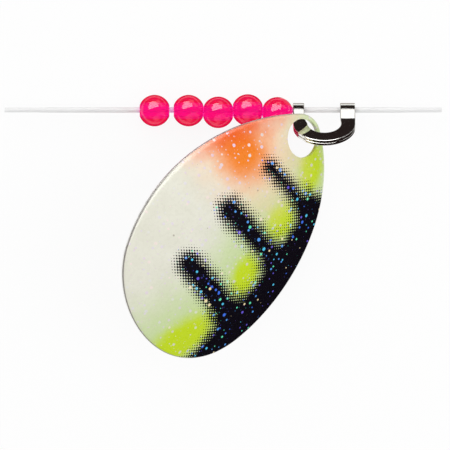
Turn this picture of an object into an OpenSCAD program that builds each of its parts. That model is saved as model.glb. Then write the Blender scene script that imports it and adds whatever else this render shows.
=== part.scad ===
// Section of a spinner rig laid on a table: a leader line that carries five round beads
// and a folded clevis, with a domed blade hung on the clevis by the hole in its tip.
// X runs along the line and Z up from the table. The middle of the footprint is the origin.

/* [Leader] */
// Diameter of the monofilament line
line_d = 0.85; // [0.5:0.05:1.1]
// Length of line left of the middle of the clevis
line_left = 50.7; // [40:0.1:90]
// Length of line right of the middle of the clevis
line_right = 18.7; // [12:0.1:60]
// Diameter of the line at its two drawn-out ends
end_d = 0.75; // [0.4:0.05:0.9]
// Length of each drawn-out end
end_len = 5; // [2:0.5:8]
// Length over which the line thins to its end
taper_len = 2; // [1:0.5:4]

/* [Beads] */
// Diameter of a bead
bead_d = 5; // [4:0.1:6.2]
// Diameter of the hole through a bead
bead_bore = 1.95; // [1.6:0.05:2.4]
// Depth ground off each end of a bead, around its hole
bead_flat = 0.25; // [0.2:0.05:0.4]
// Gap beside each bead of the close row, and between the row and the clevis
bead_gap = 0.2; // [0.1:0.05:0.5]
// Gap between the loose first bead and the row
loose_gap = 0.9; // [0.2:0.1:6]
// Share of its free play on the line that each bead has dropped sideways
bead_drop = [0.2, 0.2, 0.75, 0, 0.9]; // [0:0.05:0.95]
// Least gap between the line and the wall of a bead's hole
bead_clear = 0.05; // [0.03:0.01:0.1]

/* [Clevis] */
// Width across the outside of the clevis
clevis_w = 9.9; // [8:0.1:12]
// Width of the strap
strap_w = 2.3; // [1.7:0.1:2.8]
// Thickness of one layer of sheet
sheet_t = 0.48; // [0.36:0.02:0.6]
// Open gap between the two layers at their outer edge
seam_gap = 0.06; // [0.04:0.01:0.1]
// Depth of that gap
seam_depth = 0.15; // [0.1:0.01:0.3]
// Distance from the line to the centre of the bow
bow_reach = 4.35; // [3.2:0.05:5]
// Distance from the line to where the two layers close on each other
fold_reach = 2.8; // [2.3:0.05:3.2]
// Gap between the line and the bore of a knuckle, on each side
line_clear = 0.2; // [0.1:0.02:0.3]
// Width of the knuckle next to the beads
left_knuckle = 1.8; // [1.4:0.1:2.8]
// Width of the other knuckle
right_knuckle = 2.4; // [1.4:0.1:2.8]
// Angle by which the bow stands up from the table
clevis_tilt = 55; // [50:1:60]

/* [Blade] */
// Length of the blade
blade_len = 44.3; // [36:0.1:54]
// Distance from the tip to the crown of the dome
crown_from_tip = 25.6; // [20:0.1:31]
// Radius of the tip's outline
tip_r = 4.2; // [3.6:0.1:5]
// Radius of the wide end's outline
end_r = 14.4; // [11.6:0.1:17.2]
// Radius of the outline along each flank
flank_r = 29.3; // [25:0.1:35]
// Thickness of the blade
blade_t = 0.8; // [0.6:0.05:1]
// Radius of the dome across the blade
dome_across_r = 28; // [23:0.5:34]
// Radius of the dome along the blade
dome_along_r = 85; // [70:1:105]
// Play of the strap in the hole, across the strap
hole_play = 3.8; // [3.2:0.1:4.1]
// Distance from the tip to the centre of the hole
hole_from_tip = 3.7; // [3.6:0.1:5]
// Angle by which the blade's right flank leans down
blade_roll = 33; // [28:0.5:37]
// Angle by which the tip dips
blade_dip = 7; // [5:0.5:9]
// Angle of the blade's long axis from the line
blade_yaw = 53; // [49:0.1:57]
// Angle round the bow, from its far end, at which the strap goes through the hole
strap_angle = 72.4; // [60:0.1:78]
// Distance along the line from the strap to the centre of the hole, in plan
hole_slip_x = 0.1; // [-0.8:0.05:0.4]
// Distance across the line from the strap to the centre of the hole, in plan
hole_slip_y = -1.4; // [-1.8:0.05:-1]
// Height from the middle of the strap up to the centre of the hole
hole_slip_z = 0.73; // [0.4:0.01:1]

/* [Hidden] */
$fn = 96;

bead_len = bead_d - 2 * bead_flat;
bead_play = (bead_bore - line_d) / 2 - bead_clear;

// The row is counted leftward from the clevis, and the first bead stands off from it.
row_pitch = bead_len + bead_gap;
row_end_x = -clevis_w / 2 - bead_gap - bead_len / 2;
bead_count = len(bead_drop);
function bead_x(i) = row_end_x - row_pitch * (bead_count - 1 - i) - (i == 0 ? loose_gap - bead_gap : 0);
function bead_y(i) = -bead_drop[i] * bead_play;

bow_r = clevis_w / 2;
eye_r = bow_r - strap_w;
bow_mid_r = bow_r - strap_w / 2;
strap_t = 2 * sheet_t + seam_gap;
hole_d = strap_w + hole_play;
knuckle_bore_r = line_d / 2 + line_clear;
knuckle_r = knuckle_bore_r + sheet_t;
// Angle from the strap at which a layer leaves the round of its knuckle
wrap_angle = 70;
// Length by which the strap runs up into the closing fold
fold_lap = 0.2;

// Plan of a strap point at an angle round the bow, before the frame is centred
function strap_out(a) = bow_reach + bow_mid_r * cos(a);
function strap_plan(a) = [-bow_mid_r * sin(a), -strap_out(a) * cos(clevis_tilt)];

// Outline of the blade: tip, flank and wide end are three arcs that run into each other.
tip_u = crown_from_tip - tip_r;
end_u = crown_from_tip - blade_len + end_r;
tip_gap = flank_r - tip_r;
end_gap = flank_r - end_r;
ends_apart = tip_u - end_u;
flank_u = end_u + (ends_apart ^ 2 + end_gap ^ 2 - tip_gap ^ 2) / (2 * ends_apart);
flank_v = -sqrt(end_gap ^ 2 - (flank_u - end_u) ^ 2);
tip_turn = atan2(-flank_v, tip_u - flank_u);
end_turn = atan2(-flank_v, end_u - flank_u);
// Number of straight steps in the three arcs of one side
tip_steps = 12;
flank_steps = 22;
end_steps = 14;
function arc(u, v, r, from, to, steps) = [
    for (i = [0:steps - 1])
        let (a = from + (to - from) * i / steps) [u + r * cos(a), v + r * sin(a)]
];
left_side = concat(
    arc(tip_u, 0, tip_r, 0, tip_turn, tip_steps),
    arc(flank_u, flank_v, flank_r, tip_turn, end_turn, flank_steps),
    arc(end_u, 0, end_r, end_turn, 180, end_steps)
);
end_point = [[crown_from_tip - blade_len, 0]];
right_side = [for (i = [len(left_side) - 1:-1:1]) [left_side[i][0], -left_side[i][1]]];
outline = concat(left_side, end_point, right_side);

// Height of the dome's middle and lower surfaces over the crown's tangent plane
function dome_r(u, offset) = dome_across_r - dome_along_r + sqrt((dome_along_r + offset) ^ 2 - u ^ 2);
function dome_w(u, v, offset) = sqrt(dome_r(u, offset) ^ 2 - v ^ 2) - dome_across_r;

// A point of the blade as it leans, in height and in plan
function roll_y(p) = p[1] * cos(blade_roll) - p[2] * sin(blade_roll);
function roll_z(p) = p[1] * sin(blade_roll) + p[2] * cos(blade_roll);
function lean_u(p) = p[0] * cos(blade_dip) + roll_z(p) * sin(blade_dip);
function lean_z(p) = roll_z(p) * cos(blade_dip) - p[0] * sin(blade_dip);
function plan(p) = [
    lean_u(p) * cos(blade_yaw) - roll_y(p) * sin(blade_yaw),
    lean_u(p) * sin(blade_yaw) + roll_y(p) * cos(blade_yaw)
];
rim = [for (p = outline) [p[0], p[1], dome_w(p[0], p[1], -blade_t / 2)]];
hole_u = crown_from_tip - hole_from_tip;
hole_point = [hole_u, 0, dome_w(hole_u, 0, 0)];
hole_lean = asin(hole_u / dome_along_r);

// The blade goes where its hole is on the strap. Beads and blade lie on the table, so the
// line is at half a bead's height, or higher where the blade's rim reaches lower than that.
blade_plan = strap_plan(strap_angle) + [hole_slip_x, hole_slip_y] - plan(hole_point);
blade_rise = strap_out(strap_angle) * sin(clevis_tilt) + hole_slip_z - lean_z(hole_point);
rim_drop = -min([for (p = rim) lean_z(p)]);
line_z = max(bead_d / 2, rim_drop - blade_rise);
blade_z = line_z + blade_rise;

// The frame is centred on the footprint: the line's length, and beads to blade across it.
far_y = max([for (i = [0:bead_count - 1]) bead_y(i)]) + bead_d / 2;
near_y = blade_plan[1] + min([for (p = rim) plan(p)[1]]);
centre = [(line_right - line_left) / 2, (far_y + near_y) / 2, 0];
echo(centre = centre, line_z = line_z, blade = [blade_plan[0], blade_plan[1], blade_z]);

// Straight line that thins near both ends
module leader() {
    length = line_left + line_right;
    thin_len = end_len + taper_len;
    color("gainsboro")
        translate([-line_left, 0, line_z] - centre)
            rotate([0, 90, 0])
                rotate_extrude()
                    polygon([
                        [0, 0],
                        [end_d / 2, 0],
                        [end_d / 2, end_len],
                        [line_d / 2, thin_len],
                        [line_d / 2, length - thin_len],
                        [end_d / 2, length - end_len],
                        [end_d / 2, length],
                        [0, length]
                    ]);
}

// A ball with flat ends and a straight hole
module bead(i) {
    color("deeppink")
        translate([bead_x(i), bead_y(i), line_z] - centre)
            rotate([0, 90, 0])
                difference() {
                    intersection() {
                        sphere(d = bead_d);
                        cylinder(d = 2 * bead_d, h = bead_len, center = true);
                    }
                    cylinder(d = bead_bore, h = 2 * bead_d, center = true);
                }
}

// The bow and both legs in their own plane, out to a given radius
module strap_plate(outer_r) {
    intersection() {
        difference() {
            circle(r = outer_r);
            circle(r = eye_r);
        }
        translate([-clevis_w, -2 * clevis_w])
            square(2 * clevis_w);
    }
    leg_top = bow_reach - fold_reach + fold_lap;
    for (side = [-outer_r, eye_r])
        translate([side, 0])
            square([outer_r - eye_r, leg_top]);
}

// Cross-section of a knuckle: the sheet goes round the line and its layers close up
module knuckle_section() {
    difference() {
        union() {
            circle(r = knuckle_r);
            polygon([
                knuckle_r * [cos(wrap_angle), sin(wrap_angle)],
                [fold_reach, strap_t / 2],
                [fold_reach, -strap_t / 2],
                knuckle_r * [cos(wrap_angle), -sin(wrap_angle)]
            ]);
        }
        circle(r = knuckle_bore_r);
        polygon([
            knuckle_bore_r * [cos(wrap_angle), sin(wrap_angle)],
            [fold_reach - 2 * fold_lap, seam_gap / 2],
            [fold_reach - 2 * fold_lap, -seam_gap / 2],
            knuckle_bore_r * [cos(wrap_angle), -sin(wrap_angle)]
        ]);
    }
}

module knuckle(right_x, width) {
    translate([right_x, 0, 0])
        rotate([90, 0, -90])
            linear_extrude(width)
                knuckle_section();
}

// One sheet folded along the line into two horseshoe layers
module clevis() {
    color("silver")
        translate([0, 0, line_z] - centre)
            rotate([-clevis_tilt, 0, 0]) {
                translate([0, -bow_reach, -strap_t / 2]) {
                    linear_extrude(sheet_t)
                        strap_plate(bow_r);
                    translate([0, 0, sheet_t])
                        linear_extrude(seam_gap)
                            strap_plate(bow_r - seam_depth);
                    translate([0, 0, sheet_t + seam_gap])
                        linear_extrude(sheet_t)
                            strap_plate(bow_r);
                }
                knuckle(left_knuckle - bow_r, left_knuckle);
                knuckle(bow_r, right_knuckle);
            }
}

// Barrel-shaped sheet that the dome is cut from, with its crown at the origin
module dome_sheet() {
    sweep = 90;
    translate([0, 0, -dome_across_r])
        rotate([180, -90, 0])
            rotate([0, 0, -sweep / 2])
                rotate_extrude(angle = sweep)
                    intersection() {
                        translate([dome_across_r - dome_along_r, 0])
                            difference() {
                                circle(r = dome_along_r + blade_t / 2);
                                circle(r = dome_along_r - blade_t / 2);
                            }
                        translate([0, -blade_len])
                            square([2 * dome_across_r, 2 * blade_len]);
                    }
}

module blade() {
    color("ivory")
        translate([blade_plan[0], blade_plan[1], blade_z] - centre)
            rotate([blade_roll, blade_dip, blade_yaw])
                difference() {
                    intersection() {
                        dome_sheet();
                        translate([0, 0, -dome_across_r / 2])
                            linear_extrude(dome_across_r)
                                polygon(outline);
                    }
                    translate(hole_point)
                        rotate([0, hole_lean, 0])
                            cylinder(d = hole_d, h = 8 * blade_t, center = true);
                }
}

leader();
bead(0);  // bead_1
bead(1);  // bead_2
bead(2);  // bead_3
bead(3);  // bead_4
bead(4);  // bead_5
clevis();
blade();
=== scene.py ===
import math

import bmesh
import bpy
import numpy as np
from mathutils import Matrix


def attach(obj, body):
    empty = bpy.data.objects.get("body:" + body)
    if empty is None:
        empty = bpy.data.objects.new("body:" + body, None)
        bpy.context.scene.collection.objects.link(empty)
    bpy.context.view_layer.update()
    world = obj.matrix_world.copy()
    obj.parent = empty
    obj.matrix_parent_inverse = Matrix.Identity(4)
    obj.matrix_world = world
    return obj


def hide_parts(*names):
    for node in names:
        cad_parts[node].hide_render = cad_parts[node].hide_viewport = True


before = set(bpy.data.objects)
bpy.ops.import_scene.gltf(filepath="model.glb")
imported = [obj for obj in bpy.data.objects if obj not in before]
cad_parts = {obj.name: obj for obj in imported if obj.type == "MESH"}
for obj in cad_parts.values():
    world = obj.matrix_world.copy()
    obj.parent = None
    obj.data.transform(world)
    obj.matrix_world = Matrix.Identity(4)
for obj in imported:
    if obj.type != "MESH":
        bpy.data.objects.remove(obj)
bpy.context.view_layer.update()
scene = bpy.context.scene
mm = 0.001


def linear(hexColour):  # sRGB hex to linear red, green and blue with a full alpha
    parts = np.array([int(hexColour[i : i + 2], 16) for i in (1, 3, 5)]) / 255
    values = np.where(parts <= 0.04045, parts / 12.92, ((parts + 0.055) / 1.055) ** 2.4)
    return (*values.tolist(), 1.0)


def addNode(tree, kind, inputs=(), **settings):
    # inputs is a list or a dictionary of values, sockets, or nodes whose first output is meant
    node = tree.nodes.new("ShaderNode" + kind)
    for name, value in settings.items():
        setattr(node, name, value)
    pairs = inputs.items() if isinstance(inputs, dict) else enumerate(inputs)
    for key, value in pairs:
        if isinstance(value, bpy.types.Node):
            value = value.outputs[0]
        if isinstance(value, bpy.types.NodeSocket):
            tree.links.new(value, node.inputs[key])
        else:
            node.inputs[key].default_value = value
    return node


def newMaterial(name, looks):
    # looks are the shader's sockets whose value is the same all over the surface
    material = bpy.data.materials.new(name)
    material.use_nodes = True
    tree = material.node_tree
    skin = tree.nodes["Principled BSDF"]
    for socket, value in looks.items():
        skin.inputs[socket].default_value = value
    return material, tree, skin


def gridPiece(name, grid, wrapRows, wrapColumns, materials, mergePoles=False):
    # grid is points in mm, rows by columns; each four neighbours make a face that looks outwards
    rows, columns = grid.shape[:2]
    index = np.arange(rows * columns).reshape(rows, columns)
    after = np.roll(index, -1, axis=0)
    faces = np.stack([index, np.roll(index, -1, 1), np.roll(after, -1, 1), after], axis=-1)
    faces = faces[: rows if wrapRows else rows - 1, : columns if wrapColumns else columns - 1]
    faces = faces.reshape(-1, 4)
    points = grid.reshape(-1, 3)
    a, b, c, d = (points[faces[:, k]] for k in range(4))
    volume = np.sum(a * np.cross(b, c)) + np.sum(a * np.cross(c, d))
    if volume < 0:
        faces = faces[:, ::-1]
    mesh = bpy.data.meshes.new(name)
    mesh.from_pydata((points * mm).tolist(), [], faces.tolist())
    if mergePoles:  # a ring of equal points at an end becomes one point
        work = bmesh.new()
        work.from_mesh(mesh)
        bmesh.ops.remove_doubles(work, verts=work.verts, dist=1e-7)
        work.to_mesh(mesh)
        work.free()
    mesh.shade_smooth()
    piece = bpy.data.objects.new(name, mesh)
    scene.collection.objects.link(piece)
    for material in materials:
        mesh.materials.append(material)
    return piece


# Camera: straight down with a long lens, so that sizes stay true over the whole frame, which is
# 450 pixels wide at 6.3 pixels to the mm.
cameraSet = dict(
    lens=800,
    sensor=36,
    frameWidth=450 / 6.3,
    centre=(0.286, 0.0813),
    height=2.5,
    clip=(0.1, 20),
)
cameraData = bpy.data.cameras.new("topCamera")
cameraData.lens = cameraSet["lens"]
cameraData.sensor_width = cameraSet["sensor"]
cameraData.clip_start, cameraData.clip_end = cameraSet["clip"]
camera = bpy.data.objects.new("topCamera", cameraData)
scene.collection.objects.link(camera)
cameraAway = cameraSet["frameWidth"] * cameraSet["lens"] / cameraSet["sensor"]
camera.location = (
    cameraSet["centre"][0] * mm,
    cameraSet["centre"][1] * mm,
    (cameraSet["height"] + cameraAway) * mm,
)
scene.camera = camera
print("camera at", tuple(camera.location))

# Where the line runs, in mm
lineY, lineZ = 18.3362, 2.5


def carriedRound(profile, around, x0, y0):
    # places and radii of a profile, turned once about an axis along X at the line's height
    turn = np.linspace(0, 2 * np.pi, around, endpoint=False)
    x = x0 + np.repeat(profile[:, :1], around, axis=1)
    y = y0 + profile[:, 1:] * np.cos(turn)
    z = lineZ + profile[:, 1:] * np.sin(turn)
    return np.stack([x, y, z], axis=-1)


# Clear nylon monofilament, drawn: a smooth, slightly milky thread with a soft shine.
nylon, nylonTree, nylonSkin = newMaterial(
    "nylonMonofilamentDrawn",
    {
        "Roughness": 0.55,
        "IOR": 1.53,
        "Transmission Weight": 0.08,
        "Subsurface Weight": 1,
        "Subsurface Radius": (1, 1, 1),
        "Subsurface Scale": 0.006,
    },
)
nylonPlace = addNode(nylonTree, "TexCoord")
nylonStretch = addNode(
    nylonTree, "Mapping", {"Vector": nylonPlace.outputs["Object"], "Scale": (120, 2500, 2500)}
)  # die lines 0.4 mm wide and 8 mm long that run along the thread
nylonCloud = addNode(nylonTree, "TexNoise", {"Vector": nylonStretch, "Scale": 1, "Detail": 3})
nylonTint = addNode(nylonTree, "ValToRGB", {"Fac": nylonCloud.outputs["Fac"]})
nylonTint.color_ramp.elements[0].position = 0.3
nylonTint.color_ramp.elements[0].color = linear("#E4E4E4")
nylonTint.color_ramp.elements[1].position = 0.75
nylonTint.color_ramp.elements[1].color = linear("#ECECEC")
nylonTree.links.new(nylonTint.outputs["Color"], nylonSkin.inputs["Base Color"])
nylonBump = addNode(
    nylonTree,
    "Bump",
    {"Height": nylonCloud.outputs["Fac"], "Strength": 0.08, "Distance": 0.00002},
)
nylonTree.links.new(nylonBump.outputs["Normal"], nylonSkin.inputs["Normal"])


# Leader: a round thread along X with two cut ends, thinner near them.
leaderSet = dict(
    half=34.7,
    radius=0.425,
    endRadius=0.375,
    endLength=5,
    taper=2,
    cut=0.06,
    cutRound=0.3,
    straightHalf=24,
    straightSteps=40,
    around=32,
    pathPoints=30,
)


def leaderGrid(s):
    # straight runs from the middle of one cut end over its rounded edge, the thin end and the
    # taper to the even middle, then the same runs mirrored, all carried round the line
    rounded = s["cutRound"] * s["cut"]
    runs = np.array(
        [
            (0, 0),
            (0, s["endRadius"] - s["cut"]),
            (rounded, s["endRadius"] - rounded),
            (s["cut"], s["endRadius"]),
            (s["endLength"], s["endRadius"]),
            (s["endLength"] + s["taper"], s["radius"]),
        ]
    )
    straight = np.linspace(-s["straightHalf"], s["straightHalf"], s["straightSteps"])
    middle = np.column_stack([straight, np.full_like(straight, s["radius"])])
    left = runs + (-s["half"], 0)
    right = runs[::-1] * (-1, 1) + (s["half"], 0)
    return carriedRound(np.vstack([left, middle, right]), s["around"], 0, lineY)


leader = gridPiece("leaderLine", leaderGrid(leaderSet), False, True, [nylon], mergePoles=True)
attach(leader, "leader")
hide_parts("leader")
print("leader line laid")


# Fluorescent acrylic, moulded and tumbled: dyed clear resin with a painted pink glow from inside
# for its fluorescence, so the line shows faintly through it and its edges stay deep red, under a
# wet shine.
acrylic, acrylicTree, acrylicSkin = newMaterial(
    "fluorescentAcrylicMoulded",
    {
        "Roughness": 0.08,
        "IOR": 1.49,
        "Transmission Weight": 0.8,
        # painted glow: the pink emission stands in for fluorescence raised by the lamps
        "Emission Color": linear("#FF1040"),
        "Emission Strength": 0.1,
    },
)
acrylicPlace = addNode(acrylicTree, "TexCoord")
acrylicCloud = addNode(
    acrylicTree,
    "TexNoise",
    {"Vector": acrylicPlace.outputs["Object"], "Scale": 900, "Detail": 2},
)  # swirls about 1 mm wide in the dyed resin
acrylicTint = addNode(acrylicTree, "ValToRGB", {"Fac": acrylicCloud.outputs["Fac"]})
acrylicTint.color_ramp.elements[0].position = 0.3
acrylicTint.color_ramp.elements[0].color = linear("#E6104A")
acrylicTint.color_ramp.elements[1].position = 0.7
acrylicTint.color_ramp.elements[1].color = linear("#EA1658")
acrylicTree.links.new(acrylicTint.outputs["Color"], acrylicSkin.inputs["Base Color"])
acrylicBump = addNode(
    acrylicTree,
    "Bump",
    {"Height": acrylicCloud.outputs["Fac"], "Strength": 0.04, "Distance": 0.00003},
)
acrylicTree.links.new(acrylicBump.outputs["Normal"], acrylicSkin.inputs["Normal"])

# Drilled wall of the bore: the same resin with a pale tint, so that light which crosses it is not
# dyed a second time, and a purple-pink painted glow that stands in for light shining through the
# middle of the bead.
acrylicBorePaintedGlow = acrylic.copy()
acrylicBorePaintedGlow.name = "fluorescentAcrylicDrilledPaintedGlow"
boreRamp = acrylicBorePaintedGlow.node_tree.nodes[acrylicTint.name].color_ramp
boreRamp.elements[0].color = linear("#FFC8D8")
boreRamp.elements[1].color = linear("#FFD6E4")
boreSkin = acrylicBorePaintedGlow.node_tree.nodes[acrylicSkin.name]
# painted glow: a purple emission on the bore wall, though the bead is no lamp
boreSkin.inputs["Emission Color"].default_value = linear("#8C1CD0")
boreSkin.inputs["Emission Strength"].default_value = 0.55


# Beads: five drilled balls, each at its own place on the line.
beadSet = dict(
    radius=2.5,
    stretch=1.0045,
    bore=0.88,
    edge=0.01,
    edgeRound=0.3,
    wallHalf=1.9,
    wallSteps=9,
    arcSteps=60,
    around=96,
    places=[
        (-10.9, 18.2362),
        (-5.5, 18.2362),
        (-0.8, 17.9612),
        (3.9, 18.3362),
        (8.6, 17.8862),
    ],
)


def beadGrid(s, x0, y0):
    # a ball's arc, a little longer than round, from one bore edge to the other, then a small round
    # and the straight bore wall back, carried round the bead's own axis
    start = math.asin((s["bore"] + s["edge"]) / s["radius"])
    arc = np.linspace(start, np.pi - start, s["arcSteps"])
    halfLong = s["radius"] * s["stretch"]
    ball = np.column_stack([-halfLong * np.cos(arc), s["radius"] * np.sin(arc)])
    end = halfLong * math.cos(start)
    rounded = s["edgeRound"] * s["edge"]
    lip = np.array([(end - rounded, s["bore"] + rounded), (end - s["edge"], s["bore"])])
    straight = np.linspace(s["wallHalf"], -s["wallHalf"], s["wallSteps"])
    wall = np.column_stack([straight, np.full_like(straight, s["bore"])])
    profile = np.vstack([ball, lip, wall, lip[::-1] * (-1, 1)])
    return carriedRound(profile, s["around"], x0, y0)


for number, (x0, y0) in enumerate(beadSet["places"], 1):
    beadPoints = beadGrid(beadSet, x0, y0)
    bead = gridPiece(f"bead{number}Ball", beadPoints, True, True, [acrylic, acrylicBorePaintedGlow])
    # the rows of faces after the arc are the bore
    beadRow = np.arange(len(bead.data.polygons)) // beadSet["around"]
    inBore = (beadRow > beadSet["arcSteps"]).astype(np.int32)
    bead.data.polygons.foreach_set("material_index", inBore)
    bead.data.update()
    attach(bead, f"bead_{number}")
    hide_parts(f"bead_{number}")
print("beads threaded")


# Bright nickel plate on folded sheet: a mirror with a faint warm cast and fine polishing marks.
nickel, nickelTree, nickelSkin = newMaterial("nickelPlateBright", {"Metallic": 1})
nickelPlace = addNode(nickelTree, "TexCoord")
nickelMarks = addNode(
    nickelTree,
    "TexNoise",
    {"Vector": nickelPlace.outputs["Object"], "Scale": 2500, "Detail": 4},
)  # polishing haze about 0.4 mm across
nickelRough = addNode(
    nickelTree,
    "MapRange",
    {
        "Value": nickelMarks.outputs["Fac"],
        "From Min": 0.3,
        "From Max": 0.7,
        "To Min": 0.05,
        "To Max": 0.1,
    },
)
nickelTree.links.new(nickelRough.outputs["Result"], nickelSkin.inputs["Roughness"])
nickelTint = addNode(nickelTree, "ValToRGB", {"Fac": nickelMarks.outputs["Fac"]})
nickelTint.color_ramp.elements[0].color = linear("#EDEBE5")
nickelTint.color_ramp.elements[1].color = linear("#FAF9F5")
nickelTree.links.new(nickelTint.outputs["Color"], nickelSkin.inputs["Base Color"])

# The same plate straight from the barrel, unpolished: it blurs what it mirrors.
nickelDull = nickel.copy()
nickelDull.name = "nickelPlateBarrel"
dullRough = nickelDull.node_tree.nodes[nickelRough.name]
dullRough.inputs["To Min"].default_value = 0.3
dullRough.inputs["To Max"].default_value = 0.42


# Clevis: one closed ring of sheet. It goes round the front bow, over the line at the right knuckle,
# round the back bow and over the line at the left knuckle.
clevisSet = dict(
    middleX=16,
    tilt=55,
    bowReach=4.35,
    bowRadius=3.8,
    strapWidth=2.3,
    sheet=0.46,
    seamHalf=0.27,
    foldReach=2.95,
    loopRadius=0.88,
    flankPower=1.7,
    leftWidth=1.8,
    rightWidth=2.4,
    outerX=4.95,
    corner=0.1,
    bowSteps=90,
    flankSteps=24,
    noseSteps=16,
    cornerSteps=5,
)


def loopLine(s):
    # middle of the sheet round the line, as reach and height: a flank that slopes by a power of the
    # reach, then a round nose, then both mirrored
    reach = np.linspace(s["foldReach"], 0.0, s["flankSteps"])
    share = reach / s["foldReach"]
    top = s["loopRadius"]
    height = top + (s["seamHalf"] - top) * share ** s["flankPower"]
    flank = np.column_stack([reach, height])
    turn = np.linspace(np.pi / 2, np.pi, s["noseSteps"])[1:]
    nose = np.column_stack([top * np.cos(turn), top * np.sin(turn)])
    front = np.vstack([flank, nose])
    return np.vstack([front, front[-2::-1] * (1, -1)])


def clevisGrid(s):
    # stations along the strip, each its middle, the way across it, the way through the sheet and
    # its width, all as x, reach from the line and height off the clevis's plane; each station
    # carries the same section with rounded corners, and the plane then tilts about the line
    bend = np.radians(np.linspace(-90, 90, s["bowSteps"]))
    one, zero = np.ones((len(bend), 1)), np.zeros((len(bend), 1))
    bowWay = np.column_stack([np.sin(bend), np.cos(bend), 0 * bend])
    bow = s["bowRadius"] * bowWay + (0, s["bowReach"], s["seamHalf"])
    front = np.hstack([bow, bowWay, zero, zero, one, one * s["strapWidth"]])
    back = front[::-1] * (1, 1, -1, 1, 1, 1, 1, 1, -1, 1)
    loop = loopLine(s)
    along = np.gradient(loop, axis=0)
    along /= np.linalg.norm(along, axis=1)[:, None]
    outward = np.column_stack([along[:, 1], -along[:, 0]])
    one, zero = np.ones((len(loop), 1)), np.zeros((len(loop), 1))
    rightX = one * (s["outerX"] - s["rightWidth"] / 2)
    leftX = one * (s["leftWidth"] / 2 - s["outerX"])
    right = np.hstack([rightX, loop, one, zero, zero, zero, outward, one * s["rightWidth"]])
    left = np.hstack([leftX, loop, -one, zero, zero, zero, outward, one * s["leftWidth"]])
    path = np.vstack([front, right, back, left[::-1]])

    radius = s["corner"]
    signs = np.array([(1, 1), (-1, 1), (-1, -1), (1, -1)])
    signs = np.repeat(signs, s["cornerSteps"], axis=0)
    quarter = np.linspace(0, np.pi / 2, s["cornerSteps"])
    turn = (quarter + np.pi / 2 * np.arange(4)[:, None]).ravel()
    across = (path[:, 9:] / 2 - radius) * signs[:, 0] + radius * np.cos(turn)
    through = (s["sheet"] / 2 - radius) * signs[:, 1] + radius * np.sin(turn)
    middle, acrossWay, throughWay = (path[:, None, k : k + 3] for k in (0, 3, 6))
    strip = middle + across[..., None] * acrossWay + through[:, None] * throughWay
    x, reach, height = np.moveaxis(strip, -1, 0)
    tilt = math.radians(s["tilt"])
    y = lineY - reach * math.cos(tilt) + height * math.sin(tilt)
    z = lineZ + reach * math.sin(tilt) + height * math.cos(tilt)
    return np.stack([s["middleX"] + x, y, z], axis=-1)


clevis = gridPiece("clevisFold", clevisGrid(clevisSet), True, True, [nickel])
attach(clevis, "clevis")
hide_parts("clevis")
print("clevis folded")


# Blade: a barrel-shaped dome cut to an egg outline, with a round hole and soft edges. On its own
# plane u runs to the tip and v to the left, in mm from the crown. Faces whose side, from 1 on top
# to -1 below, is under paintFrom stay bare.
bladeSet = dict(
    length=44.3,
    crownFromTip=25.6,
    tipRadius=4.2,
    endRadius=14.4,
    flankRadius=29.3,
    thickness=0.8,
    acrossRadius=28,
    alongRadius=85,
    holeRadius=3.05,
    holeFromTip=3.7,
    roll=33,
    dip=7,
    yaw=53,
    crown=(0.8212, -4.284, 12.7922),
    rimRound=0.6,
    holeRound=0.2,
    edgePower=0.75,
    paintFrom=0.35,
    arcSteps=400,
    rimSteps=400,
    acrossSteps=60,
    edgeSteps=11,
)


def bladeOutline(s):
    # three arcs for one side, tip to end, mirrored, and spread evenly along their length
    tipU = s["crownFromTip"] - s["tipRadius"]
    endU = s["crownFromTip"] - s["length"] + s["endRadius"]
    tipGap = s["flankRadius"] - s["tipRadius"]
    endGap = s["flankRadius"] - s["endRadius"]
    apart = tipU - endU
    flankU = endU + (apart**2 + endGap**2 - tipGap**2) / (2 * apart)
    flankV = -math.sqrt(endGap**2 - (flankU - endU) ** 2)
    tipTurn = math.atan2(-flankV, tipU - flankU)
    endTurn = math.atan2(-flankV, endU - flankU)
    side = []
    for u, v, r, first, last in (
        (tipU, 0, s["tipRadius"], 0, tipTurn),
        (flankU, flankV, s["flankRadius"], tipTurn, endTurn),
        (endU, 0, s["endRadius"], endTurn, math.pi),
    ):
        a = np.linspace(first, last, s["arcSteps"])
        side.append(np.column_stack([u + r * np.cos(a), v + r * np.sin(a), np.cos(a), np.sin(a)]))
    side = np.vstack(side)
    dense = np.vstack([side, side[::-1] * (1, -1, 1, -1)])
    step = np.linalg.norm(np.diff(dense[:, :2], axis=0), axis=1)
    gone = np.concatenate([[0], np.cumsum(step)])
    at = np.linspace(0, gone[-1], s["rimSteps"], endpoint=False)
    return np.column_stack([np.interp(at, gone, dense[:, k]) for k in range(4)])


def domeHeight(s, u, v, offset):
    # an arc along u, turned about a lengthwise axis one across-radius below the crown, and grown by
    # the offset from the middle of the sheet
    ring = s["acrossRadius"] - s["alongRadius"] + np.sqrt((s["alongRadius"] + offset) ** 2 - u**2)
    return np.sqrt(ring**2 - v**2) - s["acrossRadius"]


def bladeTurn(s):
    # roll about the blade's length, then dip about its width, then yaw about the upright
    a, b, c = math.radians(s["roll"]), math.radians(s["dip"]), math.radians(s["yaw"])
    aboutX = np.array([[1, 0, 0], [0, math.cos(a), -math.sin(a)], [0, math.sin(a), math.cos(a)]])
    aboutY = np.array([[math.cos(b), 0, math.sin(b)], [0, 1, 0], [-math.sin(b), 0, math.cos(b)]])
    aboutZ = np.array([[math.cos(c), -math.sin(c), 0], [math.sin(c), math.cos(c), 0], [0, 0, 1]])
    return aboutZ @ aboutY @ aboutX


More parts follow.
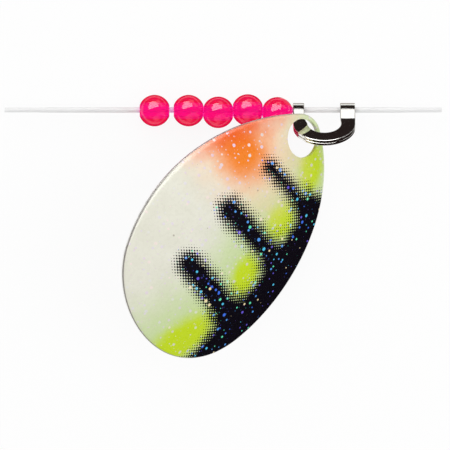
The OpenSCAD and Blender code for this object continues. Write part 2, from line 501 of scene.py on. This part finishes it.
def bladeGrid(s):
    # each row is one closed cut through the sheet on a ray from the hole: straight over the top, a
    # rounded rim, straight back below and a rounded hole wall, then lifted to the dome and turned
    rim = bladeOutline(s)[:, None]
    holeU = s["crownFromTip"] - s["holeFromTip"]
    lean = math.asin(holeU / s["alongRadius"])
    ray = rim[..., :2] - (holeU, 0)
    ray /= np.linalg.norm(ray, axis=-1, keepdims=True)
    swing = np.linspace(0, np.pi, s["edgeSteps"])[1:-1]
    inset = 1 - np.sin(swing)
    level = np.sign(np.cos(swing)) * np.abs(np.cos(swing)) ** s["edgePower"]
    share = np.linspace(0, 1, s["acrossSteps"])[:, None]

    def holePoint(gap, side):
        # the hole's axis leans with the dome, so its edge shifts along u through the sheet
        reach = s["holeRadius"] + gap
        shift = side * s["thickness"] / 2 * math.sin(lean)
        u = holeU + shift + ray[..., 0] * reach * math.cos(lean)
        return np.stack([u, ray[..., 1] * reach], axis=-1)

    def rimPoint(gap):
        # the outline, drawn in by the gap along its own normal
        return rim[..., :2] - gap * rim[..., 2:]

    rimEdge = rimPoint(s["rimRound"])
    top = holePoint(s["holeRound"], 1) * (1 - share) + rimEdge * share
    under = holePoint(s["holeRound"], -1) * (1 - share) + rimEdge * share
    rimWall = rimPoint(inset[:, None] * s["rimRound"])
    holeWall = holePoint(inset * s["holeRound"], -level)
    plan = np.concatenate([top, rimWall, under[:, ::-1], holeWall], axis=1)
    flat = np.ones(s["acrossSteps"])
    side = np.broadcast_to(np.concatenate([flat, level, -flat, -level]), plan.shape[:2])
    w = domeHeight(s, plan[..., 0], plan[..., 1], side * s["thickness"] / 2)
    own = np.concatenate([plan, w[..., None]], axis=-1)
    placed = own @ bladeTurn(s).T + np.array(s["crown"])
    return placed, np.concatenate([plan, side[..., None]], axis=-1)


# Lure enamel over stamped brass, sprayed, screen printed and clear coated: glossy, with foil
# glitter whose sparkle is painted in as bright colour. The pattern is drawn on the blade's own
# plane in mm. A spot is its centre, its two radii and its turn in degrees; a slope is the shares of
# the radius between which a spot fades; a bar is its two ends and the radius at each; flakes are
# the cell that holds one, the biggest radius and the foil colours, painted bright as glint.
paintSet = dict(
    pearl="#EBEADB",
    pearlShade="#E5E4D4",
    pearlCloud=(0.35, 0.65),
    cloudsPerMm=0.28,
    limePale="#D0E2A7",
    lime="#CBE41E",
    salmon="#FDD8B4",
    orange="#FA861B",
    orangeDeep="#F04E0A",
    ink="#0E0A16",
    limes=[
        ((19.2, -4.35), (6.2, 3.65), 34),
        ((9.4, -4.8), (4.7, 4.3), 6),
        ((-0.95, -5.3), (5.3, 3.95), 25),
        ((-15.3, -3.7), (4.65, 10.1), -107),
    ],
    limeMist=2.57,
    salmonSpot=((16.6, 11.15), (13.9, 20.2), -21),
    orangeSpot=((13.9, 8.2), (8.1, 6.9), -97),
    deepSpot=((17.6, 13.9), (21.4, 8.1), -34),
    mistSlope=(0.25, 1.1),
    limeSlope=(0.35, 1.0),
    orangeSlope=(0.2, 1.0),
    wavesPerMm=0.5,
    spotWobble=0.25,
    bellyV=-8.05,
    bellyU=1.1,
    bellyRise=0.004,
    bellyEnd=23,
    bellyReach=11.9,
    bars=[
        ((14.8, 2.6), (13.7, -7.4), 1.3, 1.3),
        ((5.25, 4.3), (4.0, -9.4), 2.2, 1.8),
        ((-5.4, 4.4), (-7.3, -7.95), 2.1, 2.5),
    ],
    join=6.7,
    barWobble=1.2,
    fringe=1.3,
    fringeOver=0.04,
    dotWaves=((1.65, -1.65), (-1.77, -1.30)),
    dotEdge=0.05,
    flakes=[
        (0.7, 0.17, ("#26286E", "#1C4A86", "#1F7C74", "#3A2C86", "#3A2A66")),
        (0.98, 0.33, ("#3E74F0", "#50CCF4", "#64F0C0", "#6A58DC", "#FCE8B4", "#54A0F4")),
    ],
    flakeSpread=0.9,
    flakeBare=0.45,
    flakeEdge=(-0.02, 0.05),
    flakeCore=(0.03, 0.1),
    flakeShine=(0.6, 0.88),
    # painted glint: the pale wash that the flakes take on the ground
    flakeGlintWash="#FFE8F0",
    glintWashShare=0.8,
    dullV=(-15, -6),
    dullBy=0.17,
    speck="#8C7C6A",
    speckCell=5.0,
    speckSize=0.16,
    speckBare=0.6,
    speckShare=0.6,
    # grey over the rim: partly worn paint, partly painted shade
    rimGreyWornAndShaded="#8E8984",
    edgeFrom=0.78,
    edgeSoft=0.15,
    rimGreyU=(-2, 8),
    rimGreyTip=0.2,
    peelPerMm=1.6,
    flakeProud=0.4,
    gloss=(0.2, 0.36),
)


def paintMaterial(s):
    # each coat is laid over those below it by a share from 0 to 1: ground, specks, glitter with its
    # painted glint, print and the greyed rim with its painted shade
    material, tree, skin = newMaterial("lureEnamelPrinted", {"Specular IOR Level": 0.4})
    place = addNode(tree, "Attribute", attribute_name="paintMm")
    axes = addNode(tree, "SeparateXYZ", [place.outputs["Vector"]])
    u, v, side = axes.outputs["X"], axes.outputs["Y"], axes.outputs["Z"]
    flat = addNode(tree, "CombineXYZ", [u, v, 0])
    # edges of the spots and bars wander over 2 mm
    wave = addNode(tree, "TexNoise", {"Vector": flat, "Scale": s["wavesPerMm"], "Detail": 2})
    wobble = addNode(tree, "Math", [wave.outputs["Fac"], 0.5], operation="SUBTRACT")

    def spot(centre, radii, turn, slope):
        # 1 in the middle of an ellipse and 0 outside it, with a soft slope between two shares
        inside = addNode(
            tree,
            "Mapping",
            {
                "Vector": flat,
                "Location": (*centre, 0),
                "Rotation": (0, 0, math.radians(turn)),
                "Scale": (*radii, 1),
            },
            vector_type="TEXTURE",
        )
        far = addNode(tree, "VectorMath", [inside], operation="LENGTH")
        ragged = addNode(
            tree, "Math", [wobble, s["spotWobble"], far.outputs["Value"]], operation="MULTIPLY_ADD"
        )
        return addNode(
            tree,
            "MapRange",
            {"Value": ragged, "From Min": slope[0], "From Max": slope[1], "To Min": 1, "To Max": 0},
            interpolation_type="SMOOTHSTEP",
        ).outputs["Result"]

    # from the ground up: pearl clouded over 3 to 4 mm, chartreuse mist and blotches, orange spot
    cloud = addNode(tree, "TexNoise", {"Vector": flat, "Scale": s["cloudsPerMm"], "Detail": 3})
    cloudLow, cloudHigh = s["pearlCloud"]
    cloudShare = addNode(
        tree,
        "MapRange",
        {"Value": cloud.outputs["Fac"], "From Min": cloudLow, "From Max": cloudHigh},
    )
    coats = [(cloudShare.outputs["Result"], s["pearlShade"])]
    for centre, radii, turn in s["limes"]:
        mistRadii = tuple(r * s["limeMist"] for r in radii)
        coats.append((spot(centre, mistRadii, turn, s["mistSlope"]), s["limePale"]))
    for blotch in s["limes"]:
        coats.append((spot(*blotch, s["limeSlope"]), s["lime"]))
    orangeShare = spot(*s["orangeSpot"], s["orangeSlope"])
    coats.append((spot(*s["salmonSpot"], s["orangeSlope"]), s["salmon"]))
    coats.append((orangeShare, s["orange"]))
    coats.append((spot(*s["deepSpot"], s["orangeSlope"]), s["orangeDeep"]))
    ground = linear(s["pearl"])
    for share, colour in coats:
        ground = addNode(
            tree, "Mix", {0: share, 6: ground, 7: linear(colour)}, data_type="RGBA"
        ).outputs[2]

    # a few dark specks in the pearl, one to a cell in two cells of five
    speckAt = addNode(
        tree, "TexVoronoi", {"Vector": flat, "Scale": 1 / s["speckCell"]}, voronoi_dimensions="2D"
    )
    speckDraw = addNode(tree, "SeparateColor", [speckAt.outputs["Color"]])
    speckSize = addNode(
        tree,
        "MapRange",
        {
            "Value": speckDraw.outputs["Blue"],
            "From Min": s["speckBare"],
            "To Min": 0,
            "To Max": s["speckSize"] / s["speckCell"],
        },
    )
    speckIn = addNode(
        tree,
        "Math",
        [speckAt.outputs["Distance"], speckSize.outputs["Result"]],
        operation="LESS_THAN",
    )
    speckShare = addNode(tree, "Math", [speckIn, s["speckShare"]], operation="MULTIPLY")
    ground = addNode(
        tree, "Mix", {0: speckShare, 6: ground, 7: linear(s["speck"])}, data_type="RGBA"
    ).outputs[2]

    # foil glitter, one flake to a cell and some cells bare, its brightness a painted glint: bright
    # on the ink, washed towards pale pink elsewhere
    inked = linear(s["ink"])
    shineLow, shineHigh = s["flakeShine"]
    shine = addNode(
        tree, "MapRange", {"Value": orangeShare, "To Min": shineLow, "To Max": shineHigh}
    )
    # flakes on the belly lie turned from the light, so only the largest show, and smaller
    dullFrom, dullTo = s["dullV"]
    dulled = addNode(
        tree,
        "MapRange",
        {
            "Value": v,
            "From Min": dullFrom,
            "From Max": dullTo,
            "To Min": s["dullBy"],
            "To Max": 0,
        },
    )
    for cell, biggest, colours in s["flakes"]:
        flakeAt = addNode(
            tree,
            "TexVoronoi",
            {"Vector": flat, "Scale": 1 / cell, "Randomness": s["flakeSpread"]},
            voronoi_dimensions="2D",
        )
        chance = addNode(tree, "SeparateColor", [flakeAt.outputs["Color"]])
        size = addNode(
            tree,
            "MapRange",
            {
                "Value": chance.outputs["Green"],
                "To Min": -s["flakeBare"] * biggest / cell,
                "To Max": biggest / cell,
            },
        )
        past = addNode(
            tree,
            "Math",
            [size.outputs["Result"], flakeAt.outputs["Distance"]],
            operation="SUBTRACT",
        )
        shown = addNode(
            tree, "Math", [dulled.outputs["Result"], -1 / cell, past], operation="MULTIPLY_ADD"
        )
        edgeLow, edgeHigh = (k / cell for k in s["flakeEdge"])
        flake = addNode(
            tree, "MapRange", {"Value": shown, "From Min": edgeLow, "From Max": edgeHigh}
        ).outputs["Result"]
        coreLow, coreHigh = (k / cell for k in s["flakeCore"])
        core = addNode(
            tree, "MapRange", {"Value": shown, "From Min": coreLow, "From Max": coreHigh}
        )
        foil = addNode(tree, "ValToRGB", {"Fac": chance.outputs["Red"]})
        ramp = foil.color_ramp
        ramp.interpolation = "CONSTANT"
        ramp.elements[0].color = linear(colours[0])
        ramp.elements[1].position = 1 / len(colours)
        ramp.elements[1].color = linear(colours[1])
        for k, colour in enumerate(colours[2:], 2):
            ramp.elements.new(k / len(colours)).color = linear(colour)
        foilColour = foil.outputs["Color"]
        inked = addNode(
            tree, "Mix", {0: flake, 6: inked, 7: foilColour}, data_type="RGBA"
        ).outputs[2]
        glintWashed = addNode(
            tree,
            "Mix",
            {0: s["glintWashShare"], 6: foilColour, 7: linear(s["flakeGlintWash"])},
            data_type="RGBA",
        ).outputs[2]
        onGround = addNode(
            tree, "Math", [core.outputs["Result"], shine.outputs["Result"]], operation="MULTIPLY"
        )
        ground = addNode(
            tree, "Mix", {0: onGround, 6: ground, 7: glintWashed}, data_type="RGBA"
        ).outputs[2]

    # black bars and belly as one distance in mm, positive outside the print
    gap = addNode(tree, "Math", [u, s["bellyU"]], operation="SUBTRACT")
    rise = addNode(tree, "Math", [gap, gap], operation="MULTIPLY")
    rim = addNode(tree, "Math", [rise, -s["bellyRise"], v], operation="MULTIPLY_ADD")
    belly = addNode(tree, "Math", [rim, s["bellyV"]], operation="SUBTRACT")
    endTurn = math.radians(s["bellyEnd"])
    endWay = (math.cos(endTurn), math.sin(endTurn), 0)
    toEnd = addNode(tree, "VectorMath", [flat, endWay], operation="DOT_PRODUCT")
    pastEnd = addNode(
        tree, "Math", [toEnd.outputs["Value"], s["bellyReach"]], operation="SUBTRACT"
    )
    edge = addNode(tree, "Math", [belly, pastEnd], operation="MAXIMUM")
    for start, end, startRadius, endRadius in s["bars"]:
        run = np.subtract(end, start)
        length = float(np.hypot(*run))
        way = (float(run[0] / length), float(run[1] / length), 0)
        fromStart = addNode(tree, "VectorMath", [flat, (*start, 0)], operation="SUBTRACT")
        along = addNode(tree, "VectorMath", [fromStart, way], operation="DOT_PRODUCT")
        held = addNode(tree, "Clamp", [along.outputs["Value"], 0, length])
        nearest = addNode(
            tree, "VectorMath", {0: way, "Scale": held.outputs["Result"]}, operation="SCALE"
        )
        away = addNode(tree, "VectorMath", [fromStart, nearest], operation="DISTANCE")
        grown = addNode(
            tree,
            "Math",
            [held, (startRadius - endRadius) / length, away.outputs["Value"]],
            operation="MULTIPLY_ADD",
        )
        bar = addNode(tree, "Math", [grown, startRadius], operation="SUBTRACT")
        edge = addNode(tree, "Math", [edge, bar, s["join"]], operation="SMOOTH_MIN")
    edge = addNode(tree, "Math", [wobble, s["barWobble"], edge], operation="MULTIPLY_ADD")
    cover = addNode(
        tree,
        "MapRange",
        {
            "Value": edge,
            "From Min": -s["fringe"],
            "From Max": s["fringe"],
            "To Min": 1 + s["fringeOver"],
            "To Max": -s["fringeOver"],
        },
    )

    # halftone: two crossed waves, 0.43 mm and 0.46 mm long, brought to a level from 0 to 1 and cut
    # where the ink's share passes it
    waves = []
    for turn in s["dotWaves"]:
        step = tuple(2 * math.pi * k for k in turn)
        phase = addNode(tree, "VectorMath", [flat, (*step, 0)], operation="DOT_PRODUCT")
        waves.append(addNode(tree, "Math", [phase.outputs["Value"]], operation="COSINE"))
    both = addNode(tree, "Math", waves, operation="ADD")
    dot = addNode(tree, "Math", [both, -0.25, 0.5], operation="MULTIPLY_ADD")
    above = addNode(tree, "Math", [cover.outputs["Result"], dot], operation="SUBTRACT")
    printed = addNode(
        tree,
        "MapRange",
        {"Value": above, "From Min": -s["dotEdge"], "From Max": s["dotEdge"]},
    )
    colour = addNode(
        tree, "Mix", {0: printed.outputs["Result"], 6: ground, 7: inked}, data_type="RGBA"
    ).outputs[2]

    # the rim is greyed, partly where the coats run thin over the metal and partly as painted shade
    # for the dark that the rounded rim mirrors, less and less towards the tip
    rimWearAndShade = addNode(
        tree,
        "MapRange",
        {
            "Value": side,
            "From Min": s["edgeFrom"] - s["edgeSoft"],
            "From Max": s["edgeFrom"],
            "To Min": 1,
            "To Max": 0,
        },
    )
    rimGreyFrom, rimGreyTo = s["rimGreyU"]
    kept = addNode(
        tree,
        "MapRange",
        {
            "Value": u,
            "From Min": rimGreyFrom,
            "From Max": rimGreyTo,
            "To Min": 1,
            "To Max": s["rimGreyTip"],
        },
    )
    rimWearAndShadeShare = addNode(
        tree, "Math", [rimWearAndShade.outputs["Result"], kept.outputs["Result"]], operation="MULTIPLY"
    )
    # painted shade: the rim's grey stands partly for the dark that the rounded edge mirrors
    colour = addNode(
        tree, "Mix", {0: rimWearAndShadeShare, 6: colour, 7: linear(s["rimGreyWornAndShaded"])}, data_type="RGBA"
    ).outputs[2]
    tree.links.new(colour, skin.inputs["Base Color"])

    # spray peel about 0.6 mm across, with the larger flakes standing a little proud
    peel = addNode(tree, "TexNoise", {"Vector": flat, "Scale": s["peelPerMm"], "Detail": 2})
    skinHeight = addNode(
        tree, "Math", [flake, s["flakeProud"], peel.outputs["Fac"]], operation="MULTIPLY_ADD"
    )
    bump = addNode(tree, "Bump", {"Height": skinHeight, "Strength": 0.12, "Distance": 0.00003})
    tree.links.new(bump.outputs["Normal"], skin.inputs["Normal"])
    glossLow, glossHigh = s["gloss"]
    gloss = addNode(
        tree,
        "MapRange",
        {"Value": peel.outputs["Fac"], "To Min": glossLow, "To Max": glossHigh},
    )
    tree.links.new(gloss.outputs["Result"], skin.inputs["Roughness"])
    return material


paint = paintMaterial(paintSet)
bladePoints, bladePaint = bladeGrid(bladeSet)
blade = gridPiece("bladeShell", bladePoints, True, True, [paint, nickelDull])
paintPlace = blade.data.attributes.new("paintMm", "FLOAT_VECTOR", "POINT")
paintPlace.data.foreach_set("vector", bladePaint.reshape(-1).astype(np.float32))
corners = np.zeros(len(blade.data.loops), np.int32)
blade.data.loops.foreach_get("vertex_index", corners)
corners = corners.reshape(-1, 4)
sideOfFace = bladePaint.reshape(-1, 3)[corners, 2].mean(axis=1)
# the paint also runs into the hole, whose wall is the last columns of the grid
gridColumns = bladePaint.shape[1]
firstWall = gridColumns - (bladeSet["edgeSteps"] - 2)
inHole = (corners % gridColumns).max(axis=1) >= firstWall
bare = (sideOfFace < bladeSet["paintFrom"]) & ~inHole
blade.data.polygons.foreach_set("material_index", bare.astype(np.int32))
blade.data.update()
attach(blade, "blade")
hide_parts("blade")
print("blade stamped and painted")


# Floor: plain white paper that shows white to the camera and keeps a soft shadow.
floorSet = dict(half=1.5, colour="#F6F6F6", lift=0.9)
half = floorSet["half"]
floorCorners = [(-half, -half, 0), (half, -half, 0), (half, half, 0), (-half, half, 0)]
floorMesh = bpy.data.meshes.new("paperFloor")
floorMesh.from_pydata(floorCorners, [], [(0, 1, 2, 3)])
floor = bpy.data.objects.new("paperFloor", floorMesh)
scene.collection.objects.link(floor)
paper, paperTree, paperSkin = newMaterial(
    "paperWhite",
    {"Base Color": linear(floorSet["colour"]), "Roughness": 0.9, "Specular IOR Level": 0},
)
rays = addNode(paperTree, "LightPath")
seen = rays.outputs["Is Camera Ray"]
for ray in ("Is Glossy Ray", "Is Transmission Ray"):
    seen = addNode(paperTree, "Math", [seen, rays.outputs[ray]], operation="MAXIMUM")
lift = addNode(paperTree, "Math", [seen, floorSet["lift"]], operation="MULTIPLY")
glowing = addNode(paperTree, "Emission", [linear("#FFFFFF"), 1.0])
paperMix = addNode(paperTree, "MixShader", {0: lift, 1: paperSkin, 2: glowing})
paperTree.links.new(paperMix.outputs[0], paperTree.nodes["Material Output"].inputs["Surface"])
floorMesh.materials.append(paper)

# Light: a soft box up behind the line and a little to the left, a second one on the right for the
# blade's face, and an even fill from all round. A lamp's level is what a white card that faces it
# would show.
lampSet = dict(
    keyBox=dict(direction=(-0.36, 0.68, 0.64), away=0.6, size=(0.6, 0.45), level=0.34),
    sideBox=dict(direction=(0.62, -0.1, 0.78), away=0.6, size=(0.5, 0.5), level=0.3),
)
for name, s in lampSet.items():
    lampData = bpy.data.lights.new(name, "AREA")
    lampData.shape = "RECTANGLE"
    lampData.size, lampData.size_y = s["size"]
    lampData.energy = s["level"] * (math.pi * s["away"]) ** 2  # a small lamp's watts for that level
    lamp = bpy.data.objects.new(name, lampData)
    scene.collection.objects.link(lamp)
    toLamp = np.array(s["direction"]) / np.linalg.norm(s["direction"])
    lamp.location = (toLamp * s["away"]).tolist()
    lamp.rotation_euler = lamp.location.to_track_quat("Z", "Y").to_euler()
    lamp.visible_glossy = False

worldSet = dict(fill=0.62, seen=1.0)
world = bpy.data.worlds.new("paleStudio")
scene.world = world
world.use_nodes = True
sky = world.node_tree
skyRays = addNode(sky, "LightPath")
skySeen = skyRays.outputs["Is Camera Ray"]
for ray in ("Is Glossy Ray", "Is Transmission Ray"):
    skySeen = addNode(sky, "Math", [skySeen, skyRays.outputs[ray]], operation="MAXIMUM")
skyLevel = addNode(
    sky,
    "MapRange",
    {"Value": skySeen, "To Min": worldSet["fill"], "To Max": worldSet["seen"]},
)
backdrop = sky.nodes["Background"]
backdrop.inputs["Color"].default_value = linear("#FFFFFF")
sky.links.new(skyLevel.outputs["Result"], backdrop.inputs["Strength"])


def lying(x0, x1, y0, y1, z):
    # corners of a card that lies level
    return [(x0, y0, z), (x1, y0, z), (x1, y1, z), (x0, y1, z)]


def standingAtX(x, y0, y1, z0, z1):
    # corners of a card that stands square to X
    return [(x, y0, z0), (x, y0, z1), (x, y1, z1), (x, y1, z0)]


def standingAtY(y, x0, x1, z0, z1):
    # corners of a card that stands square to Y
    return [(x0, y, z0), (x1, y, z0), (x1, y, z1), (x0, y, z1)]


# Cards that only mirrors see, each its tone, its glow and its corners in mm: the key box's bright
# face, a white and a grey card for the knuckles, brown-black felt and flags all round, which give
# the plating and the ink their dark, and red felt under the beads, so that their rims stay red.
keySet = dict(size=(880, 620), way=(-0.21, 0.74, 0.64), away=590)
keyWay = np.array(keySet["way"])
keyAcross = np.cross((0, 0, 1), keyWay)
keyAcross /= np.linalg.norm(keyAcross)
keyUp = np.cross(keyWay, keyAcross)
keyFlat = np.array(lying(-0.5, 0.5, -0.5, 0.5, 0))[:, :2] * keySet["size"]
keyCorners = keyWay * keySet["away"] + keyFlat[:, :1] * keyAcross + keyFlat[:, 1:] * keyUp
white, grey, black, red = "#FFFFFF", "#B4B0AC", "#241C1B", "#A80C34"
cardSet = dict(
    keyFace=(white, 6, keyCorners),
    knuckleCard=(white, 1.15, standingAtY(90, 2, 34, 3.5, 50)),
    capCard=(grey, 1, lying(10.5, 21.5, 18.4, 27, 0.05)),
    feltBehind=(black, 1, lying(-120, 120, 24.4, 89, 2)),
    feltBeads=(red, 1, lying(-20, 9.5, 10, 24.4, 0.1)),
    feltCorner=(black, 1, lying(23, 70, -6, 17, 0.25)),
    feltRight=(black, 1, lying(-2, 200, -220, 4, 0.2)),
    flagRight=(black, 1, standingAtX(200, -500, 120, 0, 420)),
    flagFront=(black, 1, standingAtY(-200, -300, 300, 12, 160)),
    flagLeft=(black, 1, standingAtX(-250, -400, 400, 0, 200)),
    flagBack=(black, 1, standingAtY(250, -400, 400, 0, 75)),
    flagAbove=(black, 1, lying(-900, 900, -900, 900, 700)),
)
for name, (tone, glow, cardCorners) in cardSet.items():
    cardMesh = bpy.data.meshes.new(name)
    cardMesh.from_pydata((np.array(cardCorners) * mm).tolist(), [], [(0, 1, 2, 3)])
    card = bpy.data.objects.new(name, cardMesh)
    scene.collection.objects.link(card)
    cloth = newMaterial(
        name,
        {
            "Base Color": linear("#050505"),
            "Roughness": 1,
            "Specular IOR Level": 0,
            "Emission Color": linear(tone),
            "Emission Strength": glow,
        },
    )[0]
    cardMesh.materials.append(cloth)
    for ray in ("camera", "diffuse", "transmission", "volume_scatter", "shadow"):
        setattr(card, f"visible_{ray}", False)
print("floor, light and backdrop set")

scene.view_settings.view_transform = "Standard"
